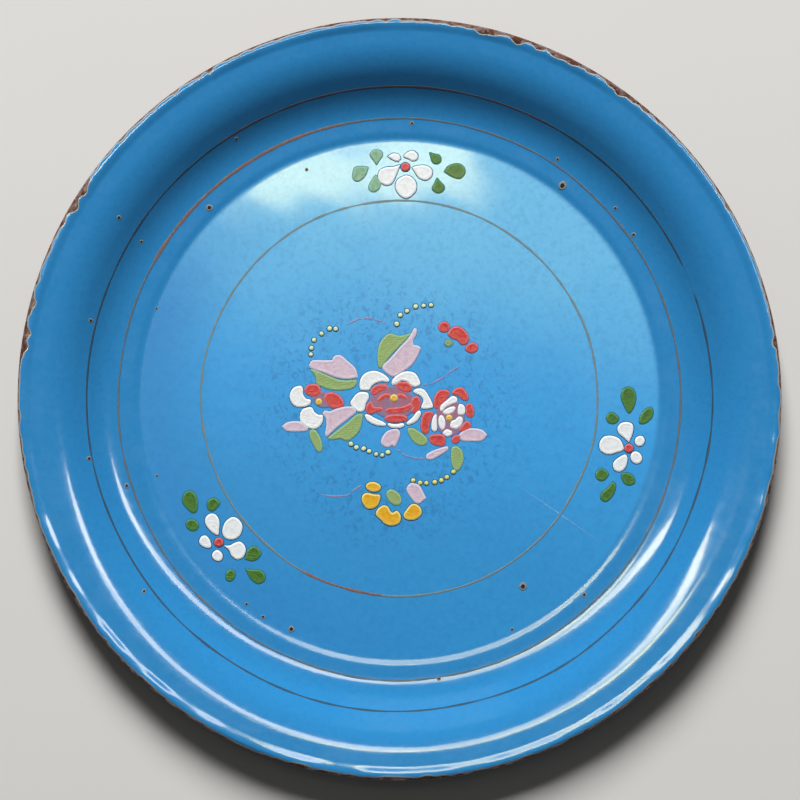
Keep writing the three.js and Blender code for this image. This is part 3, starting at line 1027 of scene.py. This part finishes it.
def berries():
    """The red trio above the bouquet and the yellow group below it."""
    reds = [
        oval((22.6, 35.8), 5.4, 5.2),
        smooth_loop([(24.7, 32.4), (26.7, 35.3), (30.3, 35.8), (33.8, 33), (35, 29.7), (33.6, 27.2),
            (31.4, 27.1), (29.2, 29.2), (26.4, 30.3)]),
        smooth_loop([(33.6, 24.1), (34.2, 26.1), (37, 27.7), (39.3, 26.7), (39.2, 24.1), (36.6, 22.7)]),
    ]
    yellows = [
        oval((-13.2, -45.2), 7.6, 5.0, -8),
        smooth_loop([(-19, -52.2), (-18.6, -49.4), (-16.5, -48.2), (-12.7, -49), (-9.9, -49.3),
            (-9.9, -51.8), (-11.4, -54.9), (-14.2, -56.3), (-16.9, -55.7)]),
        smooth_loop([(-11.9, -59.2), (-10.9, -56.3), (-8.4, -54.6), (-6, -55), (-4.6, -57.3),
            (-3.4, -58.3), (-1.4, -57.2), (0.2, -58.8), (0.7, -61.1), (-0.5, -63.7), (-4, -64.8),
            (-7.2, -63.9), (-9.4, -61.8)]),
        smooth_loop([(2.1, -59), (3.9, -56.2), (6, -54), (8.6, -54), (10.9, -56.3), (10.9, -59.3),
            (8, -61.6), (4.8, -61.9), (2.7, -61)]),
    ]
    return reds, yellows


def bouquet_leaves():
    """The green parts and the pink parts of each leaf of the bouquet, by the leaf's place in the frame."""
    top = (
        [smooth_loop([(-6.9, 31.2), (-4.2, 32.3), (-0.7, 31.2), (2.8, 31.5), (5.7, 32.6), (4.3, 30.6),
            (-0.6, 25.7), (-5.4, 20.6), (-8.8, 15.9), (-10.1, 15.3), (-11, 19.8),
            (-10.1, 26.3)], corners=[1, 4, 8])],
        [smooth_loop([(7.5, 35), (8.6, 34.4), (8.1, 31.5), (6.7, 29.2), (7, 26.4), (9.2, 26.1),
            (10.6, 25.2), (8.6, 20.4), (5.7, 16.3), (1, 12.9), (-3.4, 10.8), (-8.4, 15), (-4.6, 19.7),
            (0.6, 25.6), (5, 30.3)], corners=[0, 4, 6])],
    )
    upper_left = (
        [smooth_loop([(-44.9, 14.2), (-40.8, 12.8), (-35.3, 10.5), (-29.4, 8.5), (-21.9, 8.6),
            (-22, 6.8), (-24.3, 4.8), (-30.2, 3.9), (-35.3, 4.3), (-38.9, 5.6), (-41.6, 6.9),
            (-42.3, 10.6)], corners=[0, 4])],
        [smooth_loop([(-45.7, 16.1), (-43.8, 18.6), (-38.7, 18.6), (-34, 18.7), (-32.8, 20.8),
            (-29.8, 21.1), (-26.8, 18.7), (-22.7, 14.8), (-21.2, 10.3), (-26, 9.5), (-31.9, 10.3),
            (-38.7, 12.9), (-44.2, 14.7)], corners=[0, 3, 8])],
    )
    lower_left = (
        [smooth_loop([(-18.9, -8.5), (-19.3, -12.6), (-20.9, -17.3), (-24.3, -20.6), (-26.8, -21.6),
            (-29.8, -20.6), (-34.5, -21.1), (-35.9, -20.4), (-31.7, -17.1), (-25.8, -12.5),
            (-21.7, -9)], corners=[0, 7]),
         smooth_loop([(-45, -17), (-42.9, -16.7), (-40.8, -19.4), (-39.4, -23.2), (-39.4, -26.6),
             (-41, -27.2), (-42.9, -24.5), (-45, -20.2)])],
        [smooth_loop([(-38.6, -8.2), (-37.4, -6.9), (-35.3, -7.3), (-31.9, -6), (-27.6, -4.9),
            (-23.3, -4.8), (-22.4, -7.6), (-26.2, -10.7), (-32, -15.3), (-36.6, -19.6), (-37.4, -18.5),
            (-36.8, -14.3), (-37, -10.6)], corners=[5, 9]),
         smooth_loop([(-59.2, -14.6), (-56, -12.6), (-50.4, -12.4), (-47, -14.9), (-47, -16.6),
             (-50.1, -17), (-56.5, -16.8)], corners=[0])],
    )
    bottom = (
        [smooth_loop([(4.3, -16.2), (6.4, -15.7), (10, -17.6), (13.6, -20.8), (13.3, -23.3),
            (10.6, -24), (7.4, -22.3), (5.3, -19.2)]),
         oval((-2.8, -50.5), 8.6, 5.6, -48)],
        [smooth_loop([(-3.9, -16.4), (-0.9, -16.4), (0.1, -18.7), (-1.4, -22.8), (-2.6, -24.9),
            (-3.8, -24), (-6.1, -25.1), (-9, -23.4), (-8.7, -20.8), (-6.6, -17.7)], corners=[4]),
         smooth_loop([(5.8, -43.6), (8, -43.9), (10.1, -45), (13.2, -50.8), (11.8, -52),
             (10.2, -53.2), (8, -52.9), (5.1, -49.3), (3.8, -46.1)], corners=[3])],
    )
    right = (
        [smooth_loop([(26.8, -25.6), (28.8, -24.9), (31.3, -27), (32.1, -31.2), (30.8, -35.2),
            (28.8, -36.8), (26.8, -34.3), (26.2, -29.1)])],
        [smooth_loop([(30, -19.6), (33.5, -16.3), (38.1, -15.9), (41.8, -16.7), (44.1, -18.9),
            (41.3, -21.7), (35.5, -22), (31.9, -21.6)], corners=[4]),
         smooth_loop([(24.3, -25), (22.5, -25.3), (17.8, -26.8), (14.3, -28.6), (13.7, -30.5),
             (15.8, -31.3), (19.4, -29.6), (24, -26.6)], corners=[0])],
    )
    return {"top": top, "upper_left": upper_left, "lower_left": lower_left, "bottom": bottom, "right": right}


# Chains of pale and yellow dots, and the thin pink flourishes between them.
DOT_CHAINS = {
    "upper_left": [
        (-32.3, 34.8), (-35.4, 35.0), (-39.5, 32.4), (-43.3, 29.2), (-44.6, 25.1), (-44.9, 21.8)
    ],
    "upper_right": [
        (-1.4, 37.3), (0.4, 41.8), (3.8, 43.9), (8.2, 46.2), (12.2, 46.6), (16.0, 46.9)
    ],
    "lower_left": [
        (-24.5, -23.5), (-21.8, -25.3), (-18.1, -25.9), (-15.3, -27.2), (-11.8, -28.7), (-8.7, -29.2),
        (-5.8, -27.7)
    ],
    "lower_right": [
        (6.9, -41.9), (10.4, -43.1), (13.6, -43.3), (17.8, -42.8), (21.1, -41.9), (23.9, -40.3),
        (27.2, -37.6)
    ],
}
FLOURISHES = [
    [(-26.5, 37.1), (-21.2, 39.7), (-16.0, 40.3), (-10.7, 39.1), (-7.2, 37.7)],
    [(12.1, 6.3), (16.8, 7.2), (21.5, 9.9), (26.2, 13.4), (30.3, 15.7)],
    [(-39.8, -49.2), (-32.9, -50.0), (-26.4, -49.5), (-22.8, -46.6), (-19.3, -44.6)],
    [(-1.0, -26.2), (3.0, -29.4), (7.6, -30.6), (12.6, -31.0)],
]


def broken(line, draw):
    """A thin line as the worn brush left it: two or three lengths with bare spots between them."""
    points = [Vector(p) for p in line]
    parts, part = [], [points[0]]
    for before, after in zip(points, points[1:]):
        gap = draw.uniform(0.08, 0.2)
        part.append(before.lerp(after, 0.5 - gap / 2))
        if draw.random() < 0.5:
            parts.append(part)
            part = [before.lerp(after, 0.5 + gap / 2)]
        part.append(after)
    return [*parts, part]


def paint_group(name, loops, paint, seed, replaces=(), **dab):
    """One piece of the picture: dabs in one paint, given as its materials and a slot, which is not used."""
    materials, slot = paint
    dabs = Dabs(seed)
    for loop in loops:
        dabs.add(loop, **dab)
    return dabs.make(name, materials, replaces)


# Each brushed paint: its slot, its colour at a dab's edge, in the middle and where it pooled, and how
# much of the usual width its edge takes.
BRUSHED_PAINTS = {
    "white_paint": ("white_paint", (250, 254, 255), (246, 251, 252), (238, 238, 240), 1.0),
    "red_paint": ("red_paint", (226, 122, 128), (218, 74, 74), (200, 50, 52), 0.7),
    "yellow_paint": ("yellow_paint", (240, 216, 120), (236, 186, 40), (242, 160, 24), 1.0),
    "leaf_green_paint": ("green_paint", (76, 140, 84), (72, 122, 42), (56, 106, 44), 1.0),
    "pale_leaf_paint": ("green_paint", (140, 188, 160), (134, 182, 148), (112, 162, 128), 1.0),
    "dark_olive_paint": ("green_paint", (98, 144, 84), (84, 126, 58), (70, 112, 52), 1.0),
    "olive_green_paint": ("green_paint", (150, 190, 142), (145, 181, 112), (158, 170, 108), 1.0),
    "pink_paint": ("pink_paint", (214, 210, 232), (222, 200, 216), (212, 184, 202), 1.0),
    "pale_dot_paint": ("white_paint", (206, 226, 180), (232, 238, 190), (222, 228, 160), 0.4),
    "yellow_dot_paint": ("white_paint", (214, 216, 130), (238, 226, 128), (236, 206, 100), 0.4),
    "green_dot_paint": ("green_paint", (110, 160, 150), (134, 166, 118), (120, 150, 104), 0.5),
    "thin_pink_paint": ("pink_paint", (112, 146, 200), (150, 140, 178), (176, 122, 142), 0.2),
    "mauve_wash": ("pink_paint", (112, 130, 184), (150, 116, 150), (176, 104, 120), 0.8),
    "pale_scuff": ("blue_enamel", (84, 160, 220), (120, 182, 226), (130, 190, 226), 0.3),
}
THIN_PAINTS = ["thin_pink_paint", "mauve_wash", "pale_scuff"]  # too thin to get the painted shadow round a dab


def picture_paints():
    """Each brushed paint's materials, for a dab and for the painted shadow round it, with its slot."""
    halo = painted_dab_shadow()
    paints = {}
    for name, (slot, edge, middle, deep, bevel) in BRUSHED_PAINTS.items():
        paint = brushed_paint(name, srgb(*edge), srgb(*middle), srgb(*deep), bevel)
        paints[name] = ([paint, paint if name in THIN_PAINTS else halo], slot)
    return paints


def make_sprigs(paints):
    white, red = paints["white_paint"], paints["red_paint"]
    green, pale, dark = (paints[f"{kind}_paint"] for kind in ("leaf_green", "pale_leaf", "dark_olive"))
    leaf_paints = {"left": [green] * 6, "right": [green] * 6, "top": [dark, green, green, pale, pale, pale]}
    for place, motif in {"top": sprig_top, "left": sprig_left, "right": sprig_right}.items():
        petals, heart, leaves = motif()
        name = f"sprig_{place}"
        paint_group(f"{name}_petals", petals, white, 21, [f"{name}_flower"])
        paint_group(f"{name}_heart", [heart], red, 22, height=0.5)
        nodes = [f"{name}_leaf_{side}{i}" for side in "ab" for i in (1, 2, 3)]
        for i, (leaf, paint, node) in enumerate(zip(leaves, leaf_paints[place], nodes)):
            paint_group(f"{name}_leaf_{i + 1}", [leaf], paint, 23 + i, [node], height=0.24, halo=0.25)


def make_bouquet(paints):
    white, red, yellow = (paints[f"{kind}_paint"] for kind in ("white", "red", "yellow"))
    for place, motif in {"middle": middle_flower, "left": left_flower, "right": right_flower}.items():
        whites, reds, hearts = motif()
        name = f"bouquet_{place}"
        paint_group(f"{name}_white_petals", whites, white, 31, [f"{name}_flower"], grow=0.15, halo=0.36)
        paint_group(f"{name}_red_petals", reds, red, 32, height=0.30, halo=0.22, grow=0.28)
        paint_group(f"{name}_heart", hearts, yellow, 33, height=0.5)
    washes = [
        oval((-3.4, -2.4), 23, 16.5, -6),
        oval((25.4, -10.2), 15, 19, 0),
        oval((-38.9, -1), 10, 8, -20),
    ]
    paint_group("mauve_washes", washes, paints["mauve_wash"], 34, height=0.05, halo=0.3, furrow=0.012)

    olive, pink = paints["olive_green_paint"], paints["pink_paint"]
    for place, (greens, pinks) in bouquet_leaves().items():
        name = f"bouquet_{place}"
        node = f"bouquet_leaf_{place}"
        paint_group(f"{name}_green", greens, olive, 41, [node], height=0.24, halo=0.2, grow=0.32)
        paint_group(f"{name}_pink", pinks, pink, 42, height=0.30, halo=0.2, grow=0.30)

    reds, yellows = berries()
    paint_group("red_berries", reds, red, 51, halo=0.25, grow=0.2)
    paint_group("yellow_berries", yellows, yellow, 52)


def make_dots_and_lines(paints):
    draw = random.Random(61)
    for place, chain in DOT_CHAINS.items():
        dots = []
        for x, y in chain:
            size = draw.uniform(2.0, 2.5)
            dots.append(oval((x, y), size * 1.08, size, draw.uniform(0, 180)))
        kind = "yellow" if place == "lower_right" else "pale"
        paint_group(f"dots_{place}", dots, paints[f"{kind}_dot_paint"], 62, height=0.4, grain=0.3)
    by_berries = [oval((24.9, 27.6), 4.4, 4)]
    paint_group("dot_by_berries", by_berries, paints["green_dot_paint"], 64, height=0.2, halo=0.15)
    strands = [stroke(part, 0.9, 0.4, 0.5) for line in FLOURISHES for part in broken(line, draw)]
    paint_group("pink_flourishes", strands, paints["thin_pink_paint"], 63, height=0.05, grain=0.3, halo=0.10)
    scuff = [stroke([(59, -44.5), (80, -58.4), (100.5, -73)], 0.6, 0.3, 0.3)]
    paint_group("pale_scuff", scuff, paints["pale_scuff"], 65, height=0.02, grain=0.3, halo=0.08, furrow=0.0)


def make_picture():
    paints = picture_paints()
    make_sprigs(paints)
    make_bouquet(paints)
    make_dots_and_lines(paints)


# ---------------------------------------------------------------- pits: pops in the enamel, with a pale lip


PITS = [  # x, y, outer radius in millimetres
    (82.4, 107.3, 1.6),
    (61.9, -95.1, 1.5),
    (-96.2, 96.1, 1.3),
    (-54.2, -116.3, 1.2),
    (-82.3, 130.4, 0.7),
    (-140.4, 89.4, 0.9),
    (-130.1, 78.4, 0.7),
    (-122.6, 45.0, 0.6),
    (-47.0, 115.6, 0.7),
    (-154.7, 38.1, 0.8),
    (109.1, 95.7, 0.8),
    (118.3, 82.2, 0.9),
    (80.0, 120.7, 0.7),
    (6.3, 139.1, 0.8),
    (-155.2, -31.1, 0.9),
    (-137.0, -44.5, 0.9),
    (-127.2, -97.1, 0.8),
    (-121.9, -39.4, 0.6),
    (-76.7, -103.7, 0.7),
    (-68.4, -110.1, 0.8),
    (56.4, -116.4, 0.7),
    (19.7, -140.9, 0.8),
    (92.6, -99.1, 0.9),
]


PIT_SCALE = 1.4


def make_pits(hole, lip):
    profile = [(0.0, 0.015), (0.42, 0.015), (0.52, 0.06), (0.72, 0.10), (1.0, 0.0), (1.0, -0.05)]
    around = 20
    vertices, faces, kinds = [], [], []
    draw = random.Random(71)
    for x, y, radius in PITS:
        base = len(vertices)
        wobble = [draw.uniform(0.85, 1.15) for _ in range(around)]
        for share, above in profile:
            for j in range(around):
                turn = TAU * j / around
                reach = PIT_SCALE * radius * share * wobble[j]
                px, py = x + reach * math.cos(turn), y + reach * math.sin(turn)
                s = SECTION.s_at_radius(math.hypot(px, py))
                vertices.append(on_section(s, math.atan2(py, px), ENAMEL + above, True))
        for i in range(len(profile) - 1):
            for j in range(around):
                a, b = base + i * around + j, base + i * around + (j + 1) % around
                if i == 0:
                    faces.append((base, a + around, b + around))
                else:
                    faces.append((a, a + around, b + around, b))
                kinds.append(0 if i < 2 else 1)
        last = base + (len(profile) - 1) * around
        faces.append(tuple(last + j for j in reversed(range(around))))
        kinds.append(1)
    piece = new_piece("enamel_pits", vertices, faces, [hole, lip], material_of=kinds)
    merge = bmesh.new()
    merge.from_mesh(piece.data)
    bmesh.ops.remove_doubles(merge, verts=merge.verts, dist=1e-7)
    merge.to_mesh(piece.data)
    merge.free()


# ---------------------------------------------------------------- stage, light and camera


def make_floor():
    mesh = bpy.data.meshes.new("studio_floor")
    half = 3.0
    low = -0.0001
    corners = [(-half, -half, low), (half, -half, low), (half, half, low), (-half, half, low)]
    mesh.from_pydata(corners, [], [(0, 1, 2, 3)])
    floor = bpy.data.objects.new("studio_floor", mesh)
    bpy.context.scene.collection.objects.link(floor)
    n = Nodes("studio_floor")
    n.set(Base_Color=n.mix(n.noise(3, 2), srgb(226, 224, 220), srgb(232, 230, 226)), Roughness=0.7)
    mesh.materials.append(n.material)


def area_light(name, place, width, depth, radiance, yaw=0.0, aim=None, colour=(1, 1, 1)):
    """A rectangle of light that faces straight down, or towards aim; radiance is in watts/sr/m2."""
    data = bpy.data.lights.new(name, "AREA")
    data.shape = "RECTANGLE"
    data.size, data.size_y = width, depth
    data.energy = radiance * math.pi * width * depth
    data.color = colour
    light = bpy.data.objects.new(name, data)
    light.location = place
    light.rotation_euler = (0, 0, math.radians(yaw))
    if aim is not None:
        light.rotation_euler = (Vector(aim) - Vector(place)).to_track_quat("-Z", "Y").to_euler()
    bpy.context.scene.collection.objects.link(light)
    return light


# The bright strips overhead: middle x, y, width and depth in metres, turn in degrees, relative
# brightness, and blue for each red.
CEILING = 3.5
STRIP_RADIANCE = 12
WINDOW_RADIANCE = 350 / (4 * math.pi)
SKY_STRENGTH = 0.05
STRIPS = [
    (-1.80, 1.29, 1.30, 0.36, -13, 1.00, 0.60),
    (-0.90, 1.05, 0.60, 0.36, -14, 0.75, 0.60),
    (-0.30, 0.91, 0.62, 0.36, -14, 0.44, 0.60),
    (0.58, 0.95, 1.18, 0.36, 6, 0.58, 0.80),
    (1.55, 0.92, 0.86, 0.36, -14, 0.86, 0.80),
    (-0.25, 0.67, 0.80, 0.16, 0, 1.0, 0.36),
]


def make_lights():
    """The strips show only as reflections and the window gives only soft light, so each is set alone."""
    world = bpy.data.worlds.new("studio")
    world.use_nodes = True
    world.node_tree.nodes["Background"].inputs["Color"].default_value = (0.86, 0.92, 1.0, 1)
    world.node_tree.nodes["Background"].inputs["Strength"].default_value = SKY_STRENGTH
    bpy.context.scene.world = world
    for i, (x, y, width, depth, yaw, share, blue) in enumerate(STRIPS):
        place, radiance = (x, y, CEILING), STRIP_RADIANCE * share
        strip = area_light(f"strip_{i + 1}", place, width, depth, radiance, yaw, colour=(1, 0.92, blue))
        strip.visible_diffuse = False
    window = area_light("window", (-0.35, 4.0, 2.95), 2.0, 2.0, WINDOW_RADIANCE, aim=(0, 0, 0))
    window.visible_glossy = False


def make_camera():
    data = bpy.data.cameras.new("camera")
    sensor_width = 36
    distance, frame_width = 1.2, 0.397
    data.sensor_width = sensor_width
    data.lens = sensor_width * distance / frame_width
    camera = bpy.data.objects.new("camera", data)
    aim_x, aim_y, rim_height = 0.00025, -0.00225, CAD_BOX[1].z
    aim = Vector((aim_x, aim_y, rim_height))
    tilt = math.radians(86.8)
    camera.location = aim + Vector((0, -math.cos(tilt), math.sin(tilt))) * distance
    camera.rotation_euler = (math.pi / 2 - tilt, 0, 0)
    bpy.context.scene.collection.objects.link(camera)
    bpy.context.scene.camera = camera


# ---------------------------------------------------------------- the scene

make_camera()
make_face_enamel(blue_enamel())
make_back_enamel(dark_enamel())
make_steel_pan(bare_steel())
make_rim_wire(wire_steel())
inner_gold = gold_paint("inner", srgb(130, 142, 138), srgb(98, 142, 168))
middle_gold = gold_paint("middle", srgb(98, 112, 122), srgb(74, 110, 142))
outer_gold = gold_paint("outer", srgb(68, 92, 108), srgb(58, 104, 138))
make_gold_line("gold_line_inner_paint", "gold_line_inner", 99.9, 81, inner_gold, [(238, 266, 0.10, 1.0)])
make_gold_line("gold_line_middle_paint", "gold_line_middle", 141.6, 83, middle_gold, [(98, 152, 0.30, 0.8)])
make_gold_line("gold_line_outer_paint", "gold_line_outer", 156.8, 85, outer_gold, [(58, 126, 0.0, 0.4)],
               gaps=[(19, 25)])
make_picture()
make_pits(pit_rust(), pit_lip())
make_floor()
make_lights()
bpy.context.scene.view_settings.view_transform = "Standard"
